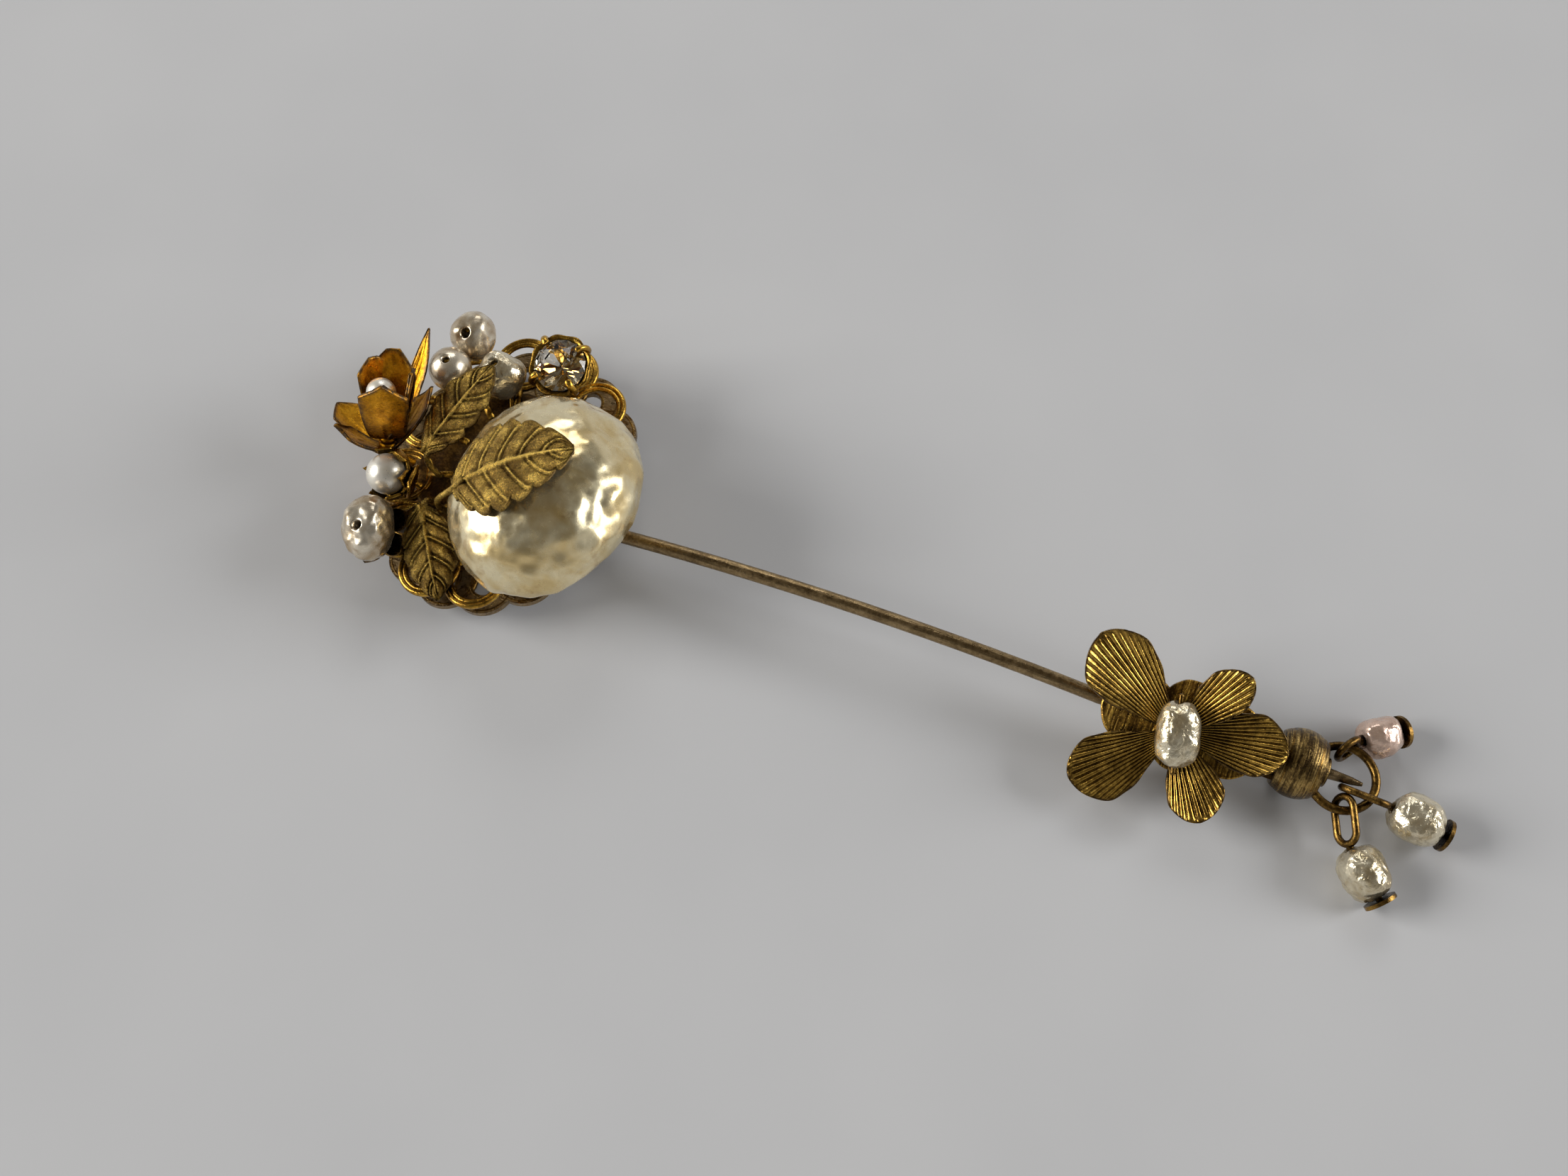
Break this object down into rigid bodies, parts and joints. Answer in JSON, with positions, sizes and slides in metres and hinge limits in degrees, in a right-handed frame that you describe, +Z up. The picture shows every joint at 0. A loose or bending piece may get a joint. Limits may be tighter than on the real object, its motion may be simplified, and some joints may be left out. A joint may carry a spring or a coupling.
{
  "type": "stick pin",
  "caption": "Jewelled stick pin with a cluster of pearls, leaves and a rose at the head, and a flowered guard with pearl drops that slides off over the point.",
  "frame": {"origin": "on the wire's axis at the middle of the guard's round clutch", "axes": "+X along the wire's straight end, from the head to the point; +Z up, away from the surface that the pin lies on"},
  "size_m": [0.0911, 0.0244, 0.0139],
  "materials": {
    "dark_gilt": "old darkened gilding over brass",
    "bright_gilt": "bright worn gilding",
    "leaf_gilt": "grainy antique gold with bright veins",
    "rose_gilt": "matte orange gold with dark edges",
    "flower_gilt": "ribbed antique gold with dark edges",
    "cream_pearl": "glass pearl with a cream pearlescent coat",
    "small_pearl": "glass pearl with a silvery white coat",
    "drop_pearl": "uneven glass pearl with a worn, foiled coat",
    "clear_stone": "clear faceted glass"
  },
  "bodies": {
    "pin": {"back_plate": "dark_gilt", "front_plate": "bright_gilt", "big_pearl": "cream_pearl", "leaf_large": "leaf_gilt", "leaf_upper": "leaf_gilt", "leaf_lower": "leaf_gilt", "rose_outer": "rose_gilt", "rose_inner": "rose_gilt", "rose_pearl": "small_pearl", "pearl_cup": "bright_gilt", "cup_pearl": "small_pearl", "low_cap": "dark_gilt", "low_pearl": "small_pearl", "top_pearl_1": "small_pearl", "top_pearl_2": "small_pearl", "top_pearl_3": "small_pearl", "stone_setting": "bright_gilt", "cut_stone": "clear_stone"},
    "guard": {"guard_clutch": "dark_gilt", "guard_flower": "flower_gilt", "guard_staple": "dark_gilt", "guard_pearl": "small_pearl", "drop_wire_1": "dark_gilt", "drop_wire_2": "dark_gilt", "drop_wire_3": "dark_gilt", "drop_pearl_1": "drop_pearl", "drop_pearl_2": "drop_pearl", "drop_pearl_3": "drop_pearl"}
  },
  "joints": [
    {"name": "guard_slide", "type": "slide", "parent": "pin", "child": "guard", "axis": [1, 0, 0], "range_m": [0, 0.028]}
  ]
}
